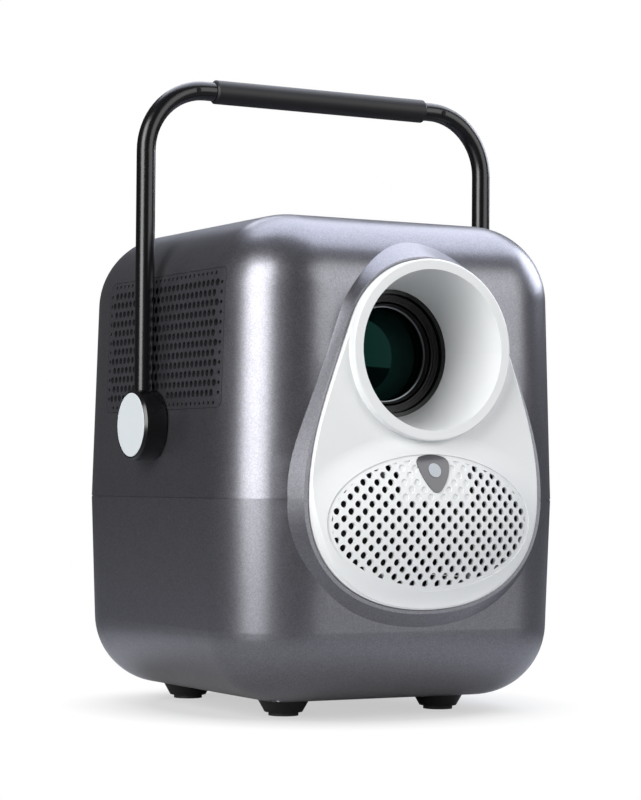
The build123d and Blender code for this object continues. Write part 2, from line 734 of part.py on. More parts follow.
left_hub = make_hub()
parts["left_hub"] = left_hub
parts["right_hub"] = mirrored(left_hub)
cap_outer = hub_face + cap_proud
left_cap = cylinder_x(handle_plane, pivot_height, cap_radius, -cap_outer, -cap_outer + cap_thickness)
left_cap = fillet(left_cap.edges().filter_by(GeomType.CIRCLE).sort_by(Axis.X)[0], 0.5)
parts["left_hub_cap"] = left_cap
parts["right_hub_cap"] = mirrored(left_cap)

inner_wall_x = (case_width / 2 - wall
                - (pivot_height + stud_flange - seam_height) * tan(radians(upper_draft)))
flange_outer = inner_wall_x - 0.1
stud = cylinder_x(handle_plane, pivot_height, stud_flange, -flange_outer, -flange_outer + stud_flange_thickness)
stud = stud + cylinder_x(handle_plane, pivot_height, stud_radius, -stud_head_inner, -flange_outer)
stud = stud + cylinder_x(handle_plane, pivot_height, stud_head_radius, -stud_head_inner - stud_head_thickness,
                         -stud_head_inner)
parts["pivot_studs"] = Compound(children=[stud, mirrored(stud)])

# ---- feet ----
feet, pads = [], []
for x, y in foot_places:
    body = Pos(x, y, (case_floor + pad_thickness) / 2) * Cone(foot_low_radius, foot_top_radius,
                                                               case_floor - pad_thickness)
    feet.append(body)
    pads.append(cylinder_z(x, y, pad_radius, 0, pad_thickness))
parts["feet"] = Compound(children=feet)
parts["foot_pads"] = Compound(children=pads)

# ---- lens ----
barrel_radius = cell_radius + barrel_wall
cell_front = funnel_end_y + 5.0
barrel = turned_y([(cell_radius, funnel_end_y + slide_gap), (barrel_face_radius, funnel_end_y + slide_gap),
                   (barrel_face_radius, funnel_end_y + 3.0), (barrel_radius, funnel_end_y + 3.0),
                   (barrel_radius, barrel_back - 3.0), (barrel_radius + 8.0, barrel_back - 3.0),
                   (barrel_radius + 8.0, barrel_back), (cell_radius, barrel_back)])
parts["lens_barrel"] = barrel
cell_outer = cell_radius - running_gap
cell_back = barrel_back - 6.0
glass_seat = front_glass_radius + 0.05
cell = turned_y([(glass_seat + 1.0, cell_front), (cell_outer, cell_front), (cell_outer, cell_back),
                 (rear_glass_radius - 2.0, cell_back), (rear_glass_radius - 2.0, cell_back - 2.0),
                 (rear_glass_radius + 0.05, cell_back - 2.0), (rear_glass_radius + 0.05, cell_back - 9.0),
                 (cell_outer - 3.0, cell_back - 12.0), (cell_outer - 3.0, front_glass_y + 8.0),
                 (front_glass_radius - 2.0, front_glass_y + 6.0), (glass_seat, front_glass_y + 6.0),
                 (glass_seat, front_glass_y - 1.5)])
parts["lens_cell"] = cell


def lens_element(radius, y_front, thickness, bulge):
    """A glass element with a domed front, an edge band and a flat back."""
    sphere_radius = (radius ** 2 + bulge ** 2) / (2 * bulge)
    dome = Pos(0, y_front - bulge + sphere_radius, lens_height) * Sphere(sphere_radius)
    band = cylinder_y(0, lens_height, radius, y_front - bulge - 1, y_front + thickness)
    return dome & band


front_glass = lens_element(front_glass_radius, front_glass_y, 5.9, 3.0)
rear_glass = cylinder_y(0, lens_height, rear_glass_radius, cell_back - 8.0, cell_back - 2.1)
parts["lens_elements"] = Compound(children=[front_glass, rear_glass])

ring_pitch = gear_module * ring_teeth / 2
pinion_pitch = gear_module * pinion_teeth / 2


def gear(pitch_radius, teeth, start_angle):
    """A flat spur gear outline with straight-flanked teeth and wide backlash."""
    root, tip = pitch_radius - 1.1, pitch_radius + 0.8
    low, high = 0.55, 0.3
    outline = []
    for number in range(teeth):
        middle = radians(start_angle) + 2 * pi * number / teeth
        for radius, half in ((root, -low), (tip, -high), (tip, high), (root, low)):
            angle = middle + half / radius
            outline.append((radius * cos(angle), radius * sin(angle)))
    return Face(Wire(Polyline(*outline, close=True)))


gear_plane = Plane(origin=(0, gear_front + gear_width, lens_height), x_dir=(1, 0, 0), z_dir=(0, -1, 0))
ring_face = gear(ring_pitch, ring_teeth, mesh_angle) - Circle(barrel_radius + running_gap)
focus_ring = extrude(gear_plane * ring_face, amount=gear_width)
parts["focus_ring"] = focus_ring
mesh_distance = ring_pitch + pinion_pitch
pinion_x = mesh_distance * cos(radians(mesh_angle))
pinion_z = lens_height + mesh_distance * sin(radians(mesh_angle))
pinion_plane = Plane(origin=(pinion_x, gear_front + gear_width, pinion_z), x_dir=(1, 0, 0), z_dir=(0, -1, 0))
pinion_face = gear(pinion_pitch, pinion_teeth, mesh_angle + 180 + 180.0 / pinion_teeth)
pinion_face = pinion_face - Circle(1.0 + running_gap)
parts["focus_pinion"] = extrude(pinion_plane * pinion_face, amount=gear_width)
motor_front = gear_front + gear_width + slide_gap
motor = cylinder_y(pinion_x, pinion_z, motor_radius, motor_front, barrel_back - 3.0)
motor = motor + cylinder_y(pinion_x, pinion_z, 1.0, gear_front - 1.0, motor_front)
parts["focus_motor"] = motor

# ---- light engine ----
engine_low = lens_height - engine_half_height
engine = block(-engine_half_width, engine_half_width, barrel_back, engine_back, engine_low, engine_top)
engine = engine - block(-engine_half_width + engine_wall, engine_half_width - engine_wall,
                        barrel_back + engine_wall, engine_back + 1, engine_low + engine_wall,
                        engine_top - engine_wall)
engine = engine - cylinder_y(0, lens_height, cell_radius, barrel_back - 1, barrel_back + engine_wall + 1)
parts["engine_housing"] = engine
optic_x = engine_half_width - engine_wall - optic_gap
optic_z = engine_half_height - engine_wall - optic_gap


def optic(y_from, y_to):
    """A plate that fills the light engine's inner section with a small gap."""
    return block(-optic_x, optic_x, y_from, y_to, lens_height - optic_z, lens_height + optic_z)


lcd = optic(18.0, 22.5)
lcd_glass = block(-46, 46, 17.0, 23.5, lens_height - 26, lens_height + 26)
parts["lcd_panel"] = lcd + lcd_glass
condenser = optic(50.0, 52.0) + (Pos(0, 20.0, lens_height) * Sphere(45.0)
                                 & block(-60, 60, 51.0, 66.0, engine_low, engine_top))
parts["condenser_optics"] = Compound(children=[optic(6.0, 8.0), optic(34.0, 36.0), condenser])
led_plate = block(-engine_half_width, engine_half_width, engine_back, engine_back + 2.0, engine_low, engine_top)
led_spot = block(-14, 14, engine_back - 3.0, engine_back, lens_height - 10, lens_height + 10)
parts["led_module"] = led_plate + led_spot
sink_front = engine_back + 2.0
sink = block(-sink_half_width, sink_half_width, sink_front, sink_front + 5.0,
             lens_height - sink_half_height, lens_height + sink_half_height)
fin_pitch = (2 * sink_half_width - sink_fin) / (sink_fins - 1)
for number in range(sink_fins):
    x = -sink_half_width + number * fin_pitch
    sink = sink + block(x, x + sink_fin, sink_front, sink_back, lens_height - sink_half_height,
                        lens_height + sink_half_height)
parts["heat_sink"] = sink

# ---- disc drive ----
drive_top = drive_bottom + drive_height
drive_front_y = drive_mid_y - drive_half_width
drive_back_y = drive_mid_y + drive_half_width
chassis = block(drive_left, drive_right, drive_front_y, drive_back_y, drive_bottom, drive_top)
chassis = chassis - block(drive_left + drive_sheet, drive_right + 1, drive_front_y + drive_sheet,
                          drive_back_y - drive_sheet, drive_bottom + drive_sheet, drive_top - drive_sheet)
parts["drive_chassis"] = chassis

rail_low = tray_bottom + (tray_height - rail_height) / 2
tray_half = drive_half_width - drive_sheet - rail_thickness - 2 * slide_gap
rails = []
for side in (-1, 1):
    near = drive_mid_y + side * (tray_half + slide_gap)
    far = near + side * rail_thickness
    rails.append(block(drive_left + drive_sheet + 2, drive_right - 1, min(near, far), max(near, far), rail_low,
                       rail_low + rail_height))
parts["tray_rails"] = Compound(children=rails)

tray_top = tray_bottom + tray_height
recess_floor = tray_top - disc_recess_depth
tray = block(tray_back, tray_front, drive_mid_y - tray_half, drive_mid_y + tray_half, tray_bottom, tray_top)
tray = tray - cylinder_z(disc_x, drive_mid_y, disc_recess_radius, recess_floor, tray_top + 1)
works_top = recess_floor - disc_floor
works_left = disc_x - works_reach
works = block(works_left, disc_x + 20.0, drive_mid_y - 27.0, drive_mid_y + 27.0, tray_bottom - 1, works_top)
slot_half = sled_half_width - 4.0
slot = block(disc_x - disc_recess_radius, disc_x, drive_mid_y - slot_half, drive_mid_y + slot_half,
             tray_bottom, tray_top)
tray = tray - works - slot - cylinder_z(disc_x, drive_mid_y, turntable_bore_radius, tray_bottom, tray_top)
button_z = drive_bottom + drive_height / 2
button_y = drive_mid_y + 40.0
stem_radius = 1.2
tray = tray - cylinder_x(button_y, button_z, stem_radius + running_gap, tray_front - 6.0, tray_front + 1)
parts["disc_tray"] = tray
bezel = bezel_tool(0.0, tray_front) & lower_form(0.0)
button_cut = block(tray_front, case_width, button_y - button_width / 2 - part_gap,
                   button_y + button_width / 2 + part_gap, button_z - button_height / 2 - part_gap,
                   button_z + button_height / 2 + part_gap)
parts["tray_bezel"] = bezel - button_cut
button_face = case_width / 2 - 0.9
button = block(tray_front + button_travel + 0.2, button_face, button_y - button_width / 2,
               button_y + button_width / 2, button_z - button_height / 2, button_z + button_height / 2)
button = button + cylinder_x(button_y, button_z, stem_radius, tray_front - 3.5,
                             tray_front + button_travel + 0.5)
parts["eject_button"] = button

motor_low = tray_bottom + 0.3
spindle_motor = cylinder_z(disc_x, drive_mid_y, 12.0, motor_low, motor_low + 2.6)
spindle_motor = spindle_motor + cylinder_z(disc_x, drive_mid_y, 1.5, motor_low, motor_low + 5.2)
spindle_motor = spindle_motor + block(disc_x, disc_x + 19.8, drive_mid_y - 5, drive_mid_y + 5, motor_low,
                                      motor_low + 1.0)
screw_y = drive_mid_y - screw_offset
screw_z = (tray_bottom + works_top) / 2
screw_end = disc_x - turntable_radius
sled_motor = cylinder_x(screw_y, screw_z, 1.5, screw_end + 0.2, screw_end + 12.0)
parts["tray_motors"] = Compound(children=[spindle_motor, sled_motor])
table_low = motor_low + 2.9
turntable = cylinder_z(disc_x, drive_mid_y, turntable_radius, table_low, recess_floor + 1.3)
turntable = turntable + cylinder_z(disc_x, drive_mid_y, disc_hub_radius, table_low, recess_floor + 3.3)
turntable = chamfer(turntable.edges().filter_by(GeomType.CIRCLE).sort_by(Axis.Z)[-1], 0.6)
turntable = turntable - cylinder_z(disc_x, drive_mid_y, 1.5 + running_gap, table_low - 1, motor_low + 5.4)
parts["spindle_turntable"] = turntable
sled_right = disc_x - turntable_radius - 0.5
sled_left = sled_right - sled_length
sled_top = works_top - 0.2
sled = block(sled_left, sled_right, drive_mid_y - sled_half_width, drive_mid_y + sled_half_width, motor_low,
             sled_top)
nut_middle = (sled_left + sled_right) / 2
sled = sled + block(nut_middle - nut_length / 2, nut_middle + nut_length / 2, drive_mid_y - nut_reach,
                    drive_mid_y, motor_low, sled_top)
sled = sled + cylinder_z(disc_x - sled_read_radius, drive_mid_y, sled_lens_radius, works_top - 0.5,
                         recess_floor + 0.2)
sled = sled - cylinder_x(screw_y, screw_z, screw_radius + running_gap, works_left, disc_x)
rods = []
for side in (-1, 1):
    y = drive_mid_y + side * rod_offset
    sled = sled - cylinder_x(y, screw_z, rod_radius + running_gap, works_left, disc_x)
    rods.append(cylinder_x(y, screw_z, rod_radius, works_left, screw_end))
parts["pickup_sled"] = sled
parts["guide_rods"] = Compound(children=rods)
parts["lead_screw"] = cylinder_x(screw_y, screw_z, screw_radius, works_left + 0.1, screw_end)

# ---- boards ----
board = block(-board_half_width, board_half_width, board_front, board_back, board_level,
              board_level + board_thickness)
chip_level = board_level + board_thickness
for x, y, size, height in ((-38, 90, 12, 1.6), (5, 90, 14, 2.0), (34, 90, 10, 1.4), (50, 90, 8, 6.0)):
    board = board + block(x - size / 2, x + size / 2, y - size / 2, y + size / 2, chip_level - 0.1,
                          chip_level + height)
parts["main_board"] = board
psu = block(psu_left, psu_right, psu_front, psu_back, psu_level, psu_level + board_thickness)
psu = psu + block(psu_left + 8, psu_right - 12, -20, 12, psu_level, psu_level + 26)
for y in (-36.0, 26.0, 40.0):
    psu = psu + cylinder_z(psu_left + 22, y, 6.0, psu_level, psu_level + 24)
parts["power_supply"] = psu

# ---- rear panel with ports ----
rear_panel = port_tool(0.0, port_inner_plane) & lower_form(0.0)
inlet_half_x, inlet_half_z = 11.0, 7.5
switch_half_x, switch_half_z = 10.5, 7.0
jack_places = [(8.0, "jack"), (20.0, "jack")]
socket_places = [(34.0, 7.6, 3.0), (52.0, 7.0, 3.6)]
port_low = chip_level
openings = [block(inlet_x - inlet_half_x - 0.1, inlet_x + inlet_half_x + 0.1, port_inner_plane - 1, case_depth,
                  socket_level - inlet_half_z - 0.1, socket_level + inlet_half_z + 0.1)]
openings.append(block(switch_x - switch_half_x - 0.1, switch_x + switch_half_x + 0.1, port_inner_plane - 1,
                      case_depth, socket_level - switch_half_z - 0.1, socket_level + switch_half_z + 0.1))
ports = []
for x, half_x, half_z in socket_places:
    level = port_low + half_z
    openings.append(block(x - half_x - part_gap, x + half_x + part_gap, port_inner_plane - 1, case_depth,
                          level - half_z - part_gap, level + half_z + part_gap))
    shell = block(x - half_x, x + half_x, 99.0, port_face, port_low, port_low + 2 * half_z)
    inside = block(x - half_x + 0.5, x + half_x - 0.5, 101.0, port_face + 1, port_low + 0.5,
                   port_low + 2 * half_z - 0.5)
    tongue = block(x - half_x + 2.0, x + half_x - 2.0, 100.0, port_face - 2.0, level - 0.7, level + 0.7)
    ports.append(shell - inside + tongue)
jacks = []
jack_radius = 3.6
for x, kind in jack_places:
    level = port_low + jack_radius
    openings.append(cylinder_y(x, level, jack_radius + part_gap, port_inner_plane - 1, case_depth))
    jack = cylinder_y(x, level, jack_radius, 104.0, port_face)
    jack = jack + block(x - 3.5, x + 3.5, 100.0, 110.0, port_low, port_low + 7.0)
    jacks.append(jack - cylinder_y(x, level, 1.8, 101.0, port_face + 1))
for opening in openings:
    rear_panel = rear_panel - opening
parts["rear_panel"] = rear_panel
parts["hdmi_usb_ports"] = Compound(children=ports)
parts["audio_jacks"] = Compound(children=jacks)

inlet = block(inlet_x - inlet_half_x, inlet_x + inlet_half_x, 98.0, port_face, socket_level - inlet_half_z,
              socket_level + inlet_half_z)
well_plane = Plane(origin=(inlet_x, 101.5, socket_level), x_dir=(-1, 0, 0), z_dir=(0, 1, 0))
inlet = inlet - extrude(well_plane * SlotOverall(17.0, 8.6), amount=20)
for side in (-1, 1):
    inlet = inlet + cylinder_y(inlet_x + side * 4.3, socket_level, 1.2, 101.0, 111.0)
inlet = inlet + block(inlet_x - 8.0, inlet_x + 8.0, 98.5, 104.0, chip_level, socket_level - inlet_half_z)
parts["power_inlet"] = inlet

switch = block(switch_x - switch_half_x, switch_x + switch_half_x, 98.0, port_face,
               socket_level - switch_half_z, socket_level + switch_half_z)
pocket_half_x, pocket_half_z = 8.5, 5.5
switch = switch - block(switch_x - pocket_half_x, switch_x + pocket_half_x, 102.0, port_face + 1,
                        socket_level - pocket_half_z, socket_level + pocket_half_z)
rocker_pivot_y = 110.0
axle_radius = 1.2
axle_reach = pocket_half_x + 1.2
switch = switch - cylinder_x(rocker_pivot_y, socket_level, axle_radius + running_gap,
                             switch_x - axle_reach - 0.1, switch_x + axle_reach + 0.1)
switch = switch + block(switch_x - 7.0, switch_x + 7.0, 98.5, 103.0, chip_level, socket_level - switch_half_z)
parts["switch_housing"] = switch
rocker_tilt = 9.0
rocker_half_z = 4.9
rocker_face = Face(Wire(Polyline((rocker_pivot_y - 4.5, -2.2), (rocker_pivot_y + 3.2, -rocker_half_z),
                                 (rocker_pivot_y + 2.4, 0.0), (rocker_pivot_y + 3.2, rocker_half_z),
                                 (rocker_pivot_y - 4.5, 2.2), close=True)))
rocker_plane = Plane(origin=(switch_x - pocket_half_x + 0.3, 0, socket_level), x_dir=(0, 1, 0), z_dir=(1, 0, 0))
rocker = extrude(rocker_plane * rocker_face, amount=2 * (pocket_half_x - 0.3))
rocker = rocker + cylinder_x(rocker_pivot_y, socket_level, axle_radius, switch_x - axle_reach,
                             switch_x + axle_reach)
rocker = rocker.rotate(Axis((0, rocker_pivot_y, socket_level), (1, 0, 0)), rocker_tilt)
parts["power_rocker"] = rocker

# ---- top keys ----
plate_low = case_top - key_plate_thickness
key_board_level = case_top - 8.0
key_names = ("power_key", "volume_down_key", "play_key", "volume_up_key", "source_key")
key_plate = key_tool(0.0, plate_low) & upper_form(0.0)
key_board = block(-key_plate_width / 2, key_plate_width / 2, key_plate_y - key_plate_depth / 2,
                  key_plate_y + key_plate_depth / 2, key_board_level - board_thickness, key_board_level)
for number, name in enumerate(key_names):
    x = (number - 2) * key_pitch
    key_plate = key_plate - cylinder_z(x, key_plate_y, key_radius + key_gap, plate_low - 1, case_top + 1)
    stem_low = key_board_level + 1.0 + key_travel + 0.1
    key = cylinder_z(x, key_plate_y, key_radius, plate_low - 1.2, case_top + key_proud)
    key = fillet(key.edges().filter_by(GeomType.CIRCLE).sort_by(Axis.Z)[-1], 0.5)
    key = key + cylinder_z(x, key_plate_y, key_radius + 0.8, plate_low - 1.6, plate_low - 0.1)
    key = key + cylinder_z(x, key_plate_y, 1.5, stem_low, plate_low)
    parts[name] = key
    key_board = key_board + block(x - 3, x + 3, key_plate_y - 3, key_plate_y + 3, key_board_level - 0.1,
                                  key_board_level + 1.0)
for side in (-1, 1):
    rib = block(side * (key_plate_width / 2 - 3) - 1.5, side * (key_plate_width / 2 - 3) + 1.5,
                key_plate_y - 8, key_plate_y + 8, key_board_level, plate_low + 0.1)
    key_plate = key_plate + rib
parts["key_plate"] = key_plate
parts["key_board"] = key_board

# ---- write one file for each piece ----
os.makedirs("parts", exist_ok=True)
centred = Pos(0, centring, 0)
for name, shape in parts.items():
    solids = [centred * solid for solid in shape.solids()]
    placed = solids[0] if len(solids) == 1 else Compound(children=solids)
    export_step(placed, os.path.join("parts", name + ".step"))
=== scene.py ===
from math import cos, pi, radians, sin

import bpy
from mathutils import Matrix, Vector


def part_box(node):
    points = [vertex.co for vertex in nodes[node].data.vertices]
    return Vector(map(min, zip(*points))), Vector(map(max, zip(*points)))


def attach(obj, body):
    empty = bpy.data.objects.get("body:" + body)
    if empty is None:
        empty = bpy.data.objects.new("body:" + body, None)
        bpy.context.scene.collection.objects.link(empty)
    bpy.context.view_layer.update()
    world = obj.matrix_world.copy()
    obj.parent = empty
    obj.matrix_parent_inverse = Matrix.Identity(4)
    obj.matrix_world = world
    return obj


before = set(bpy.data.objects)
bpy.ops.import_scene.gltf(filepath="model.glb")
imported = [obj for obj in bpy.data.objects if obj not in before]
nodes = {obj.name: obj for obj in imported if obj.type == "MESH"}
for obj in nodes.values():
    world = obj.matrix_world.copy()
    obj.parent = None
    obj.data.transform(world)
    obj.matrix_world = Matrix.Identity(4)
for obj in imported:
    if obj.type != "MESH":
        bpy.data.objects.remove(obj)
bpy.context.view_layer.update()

# %% [markdown]
# # A portable projector with a disc tray
# The imported model has just been loaded: one object for each part of the real machine, in metres,
# with the lens looking along -Y and the floor at Z = 0. Most parts keep their shape. This lesson
# gives them their finishes, adds the optical details that a plain solid can't show, and lights
# them like a product photograph.

print("parts loaded:", len(nodes))

# %% [markdown]
# ## The camera
# The photograph was taken from the left of the lens, a little above the table and looking very
# slightly up. The picture's height of 800 pixels is the camera's long side, so a focal length in
# pixels becomes millimetres on a 36 mm sensor. The camera's axes are worked out from its turn,
# its tilt and a small roll, and set as the columns of its matrix.

# %% Camera
image_height = 800
sensor_mm = 36.0
focal_pixels = 2429.0
camera_place = Vector((-0.6370, -1.14825, 0.1200))
camera_turn = radians(28.96)
camera_tilt = radians(1.92)
camera_roll = radians(0.43)

view_axis = Vector((sin(camera_turn) * cos(camera_tilt), cos(camera_turn) * cos(camera_tilt),
                    sin(camera_tilt)))
level_right = Vector((cos(camera_turn), -sin(camera_turn), 0.0))
level_up = level_right.cross(view_axis)
right_axis = cos(camera_roll) * level_right + sin(camera_roll) * level_up
up_axis = cos(camera_roll) * level_up - sin(camera_roll) * level_right

camera_data = bpy.data.cameras.new("camera")
camera = bpy.data.objects.new("camera", camera_data)
bpy.context.scene.collection.objects.link(camera)
camera_data.sensor_width = sensor_mm
camera_data.lens = focal_pixels * sensor_mm / image_height
camera_axes = Matrix((right_axis, up_axis, -view_axis)).transposed()
camera.matrix_world = Matrix.Translation(camera_place) @ camera_axes.to_4x4()
bpy.context.scene.camera = camera
bpy.context.scene.view_settings.view_transform = "Standard"
print("lens in mm:", round(camera_data.lens, 1))

# %% [markdown]
# ## A way to write materials
# Colours are chosen as they look on a screen, so they are written as hex values. Blender's
# shaders work in linear light, and one function converts them. One more function adds a node,
# sets its values and links its inputs, so that each finish below reads as a short recipe.

# %% Colour and node helpers
def linear(hex_colour):
    """A screen colour such as "#4a4b50" as linear red, green, blue and alpha."""
    channels = [int(hex_colour[i:i + 2], 16) / 255 for i in (1, 3, 5)]
    return [c / 12.92 if c <= 0.04045 else ((c + 0.055) / 1.055) ** 2.4 for c in channels] + [1.0]


def add(material, kind, settings=None, **links):
    """Adds one node: settings go to its attributes or sockets, links join other nodes' outputs to it."""
    node = material.node_tree.nodes.new(kind)
    for name, value in (settings or {}).items():
        if hasattr(node, name):
            setattr(node, name, value)
        else:
            node.inputs[name].default_value = value
    for name, output in links.items():
        material.node_tree.links.new(output, node.inputs[name.replace("_", " ")])
    return node


def new_material(name):
    """An empty node material with its output node."""
    material = bpy.data.materials.new(name)
    material.use_nodes = True
    material.node_tree.nodes.clear()
    output = material.node_tree.nodes.new("ShaderNodeOutputMaterial")
    return material, output


def finish_material(material, output, shader):
    """Joins the shader to the material's output."""
    material.node_tree.links.new(shader.outputs[0], output.inputs["Surface"])
    return material


mm = 0.001
print("white in linear light:", [round(c, 3) for c in linear("#e9ebeb")])

# %% [markdown]
# ## Metallic paint
# The case is moulded plastic sprayed with a gunmetal metallic paint. Tiny flakes lie in a clear
# binder: they mirror the lamps softly and give the surface a fine sparkle that shows where a
# highlight fades. A metallic base gives the soft mirror, a cellular noise tilts its flakes and
# varies their brightness, and a thin clear coat adds the faint sharp edge of a varnish.

# %% Gunmetal paint
flake_size = 0.55 * mm
mottle_size = 9 * mm
gloss_spread = 0.03
flake_spread = 0.20


def metallic_paint(name, colour, roughness):
    """Spray paint with metal flakes under a satin clear coat."""
    material, output = new_material(name)
    place = add(material, "ShaderNodeTexCoord")
    flakes = add(material, "ShaderNodeTexVoronoi", {"Scale": 1 / flake_size},
                 Vector=place.outputs["Object"])
    mottle = add(material, "ShaderNodeTexNoise", {"Scale": 1 / mottle_size, "Detail": 3.0},
                 Vector=place.outputs["Object"])
    grey = add(material, "ShaderNodeRGBToBW", {}, Color=flakes.outputs["Color"])
    shade = add(material, "ShaderNodeMapRange", {"To Min": 1 - flake_spread, "To Max": 1 + flake_spread},
                Value=grey.outputs["Val"])
    tint = add(material, "ShaderNodeMixRGB",
               {"blend_type": "MULTIPLY", "Fac": 1.0, "Color1": linear(colour)},
               Color2=shade.outputs["Result"])
    gloss = add(material, "ShaderNodeMapRange",
                {"To Min": roughness - gloss_spread, "To Max": roughness + gloss_spread},
                Value=mottle.outputs["Fac"])
    bump = add(material, "ShaderNodeBump", {"Strength": 0.05, "Distance": 0.05 * mm},
               Height=grey.outputs["Val"])
    paint = add(material, "ShaderNodeBsdfPrincipled",
                {"Metallic": 0.88, "Coat Weight": 0.2, "Coat Roughness": 0.22, "Coat IOR": 1.5},
                Base_Color=tint.outputs["Color"], Roughness=gloss.outputs["Result"],
                Normal=bump.outputs["Normal"])
    return finish_material(material, output, paint)


case_paint = metallic_paint("gunmetal_metallic_paint", "#77777d", 0.34)
grille_paint = metallic_paint("gunmetal_grille_paint", "#707076", 0.38)
print("paints:", case_paint.name, grille_paint.name)

# %% [markdown]
# ## Plastics, rubber and enamel
# Most other surfaces are moulded plastic: white ABS for the front, black ABS for hubs, feet and
# sockets. Moulded plastic is never quite even. The mould's fine texture breaks up highlights and
# there is a slow change in gloss over a few centimetres, so one recipe with a texture size, a
# texture depth and a gloss range makes them all.

# %% Moulded surfaces
slow_size = 40 * mm
tone_spread = 0.03


def moulded(name, colour, roughness, texture_mm, depth_mm, ior=1.50, coat=0.0):
    """A moulded or enamelled surface: fine bumps of a real size over a slow change in gloss."""
    material, output = new_material(name)
    place = add(material, "ShaderNodeTexCoord")
    grain = add(material, "ShaderNodeTexNoise", {"Scale": 1 / (texture_mm * mm), "Detail": 2.0},
                Vector=place.outputs["Object"])
    slow = add(material, "ShaderNodeTexNoise", {"Scale": 1 / slow_size, "Detail": 2.0},
               Vector=place.outputs["Object"])
    shade = add(material, "ShaderNodeMapRange", {"To Min": 1 - tone_spread, "To Max": 1 + tone_spread},
                Value=slow.outputs["Fac"])
    tint = add(material, "ShaderNodeMixRGB",
               {"blend_type": "MULTIPLY", "Fac": 1.0, "Color1": linear(colour)},
               Color2=shade.outputs["Result"])
    gloss = add(material, "ShaderNodeMapRange",
                {"To Min": roughness - gloss_spread, "To Max": roughness + gloss_spread},
                Value=slow.outputs["Fac"])
    bump = add(material, "ShaderNodeBump", {"Strength": 0.35, "Distance": depth_mm * mm},
               Height=grain.outputs["Fac"])
    surface = add(material, "ShaderNodeBsdfPrincipled",
                  {"IOR": ior, "Coat Weight": coat, "Coat Roughness": 0.08},
                  Base_Color=tint.outputs["Color"], Roughness=gloss.outputs["Result"],
                  Normal=bump.outputs["Normal"])
    return finish_material(material, output, surface)


white_abs = moulded("white_moulded_abs", "#e9ebeb", 0.38, 0.5, 0.008, 1.53)
cap_abs = moulded("white_cap_abs", "#d6dcdf", 0.30, 0.6, 0.006, 1.53)
black_gloss_abs = moulded("black_polished_abs", "#060607", 0.26, 0.8, 0.006, 1.53)
black_abs = moulded("black_textured_abs", "#131314", 0.50, 0.5, 0.03, 1.53)
black_enamel = moulded("black_enamelled_tube", "#08080a", 0.26, 1.2, 0.006, 1.50)
grip_rubber = moulded("black_soft_touch_rubber", "#18181a", 0.50, 0.35, 0.03, 1.45)
pad_rubber = moulded("black_rubber_pad", "#1c1c1c", 0.75, 0.6, 0.05, 1.52)
sensor_plastic = moulded("smoked_infrared_plastic", "#4b4b51", 0.14, 1.0, 0.003, 1.53, coat=0.5)
sensor_eye = moulded("grey_sensor_lens", "#a8aeb6", 0.12, 1.0, 0.002, 1.50, coat=0.6)
foam = moulded("open_filter_foam", "#161617", 0.95, 0.9, 0.4)
board_resist = moulded("green_circuit_resist", "#1f5b3a", 0.35, 1.5, 0.03)
key_abs = moulded("dark_key_abs", "#2b2c30", 0.42, 0.5, 0.02, 1.53)
# painted shade: the cone paper is darkened to near black, standing in for the shade inside the case behind
# the grille holes
cones_with_painted_shade = moulded("paper_cone_with_painted_shade", "#161618", 0.60, 0.7, 0.05)
print("materials so far:", len(bpy.data.materials))

# %% [markdown]
# ## Bare metals and clear plastics
# Steel sheet, rods and aluminium fins are left bare. Rolling leaves fine lines, which noise
# stretched along one axis draws well. Optical plastics are clear with an IOR near 1.5.

# %% Metals and clear parts
line_size = 4 * mm
line_stretch = (1.0, 1.0, 12.0)
line_gloss = 0.08
line_tone = 0.1


def bare_metal(name, colour, roughness):
    """Bare metal with fine rolling lines."""
    material, output = new_material(name)
    place = add(material, "ShaderNodeTexCoord")
    along = add(material, "ShaderNodeMapping", {"Scale": line_stretch}, Vector=place.outputs["Object"])
    lines = add(material, "ShaderNodeTexNoise", {"Scale": 1 / line_size, "Detail": 4.0},
                Vector=along.outputs["Vector"])
    gloss = add(material, "ShaderNodeMapRange",
                {"To Min": roughness - line_gloss, "To Max": roughness + line_gloss},
                Value=lines.outputs["Fac"])
    shade = add(material, "ShaderNodeMapRange", {"To Min": 1 - line_tone, "To Max": 1 + line_tone},
                Value=lines.outputs["Fac"])
    tint = add(material, "ShaderNodeMixRGB",
               {"blend_type": "MULTIPLY", "Fac": 1.0, "Color1": linear(colour)},
               Color2=shade.outputs["Result"])
    metal = add(material, "ShaderNodeBsdfPrincipled", {"Metallic": 1.0}, Base_Color=tint.outputs["Color"],
                Roughness=gloss.outputs["Result"])
    return finish_material(material, output, metal)


steel = bare_metal("bare_rolled_steel", "#b9bcc0", 0.34)
# painted shade: bare steel darkened to near black, standing in for the shade behind the grille holes and
# inside the grip, where the speaker frames and grip pins sit
steel_with_painted_shade = bare_metal("steel_darkened_as_painted_shade", "#1e1e20", 0.42)
ring_steel = bare_metal("satin_lens_ring", "#8f9396", 0.30)
aluminium = bare_metal("bare_aluminium", "#c3c6c9", 0.38)
brass = bare_metal("turned_brass", "#c9a75a", 0.30)
clear_plastic = moulded("clear_optical_plastic", "#cfd8da", 0.08, 2.0, 0.002, 1.49, coat=0.5)
print("metals:", steel.name, aluminium.name, brass.name)

# %% [markdown]
# ## Coated lens glass
# A projector's front glass has a coating that takes away most of its reflection and tints what
# is left blue-green. Behind it is black, so the glass is a dark body whose weak mirror image of
# the soft boxes is tinted. The wipe marks of a cloth change its gloss a little.

# %% Coated glass
wipe_size = 12 * mm
polish_finest = 0.015
polish_wiped = 0.05


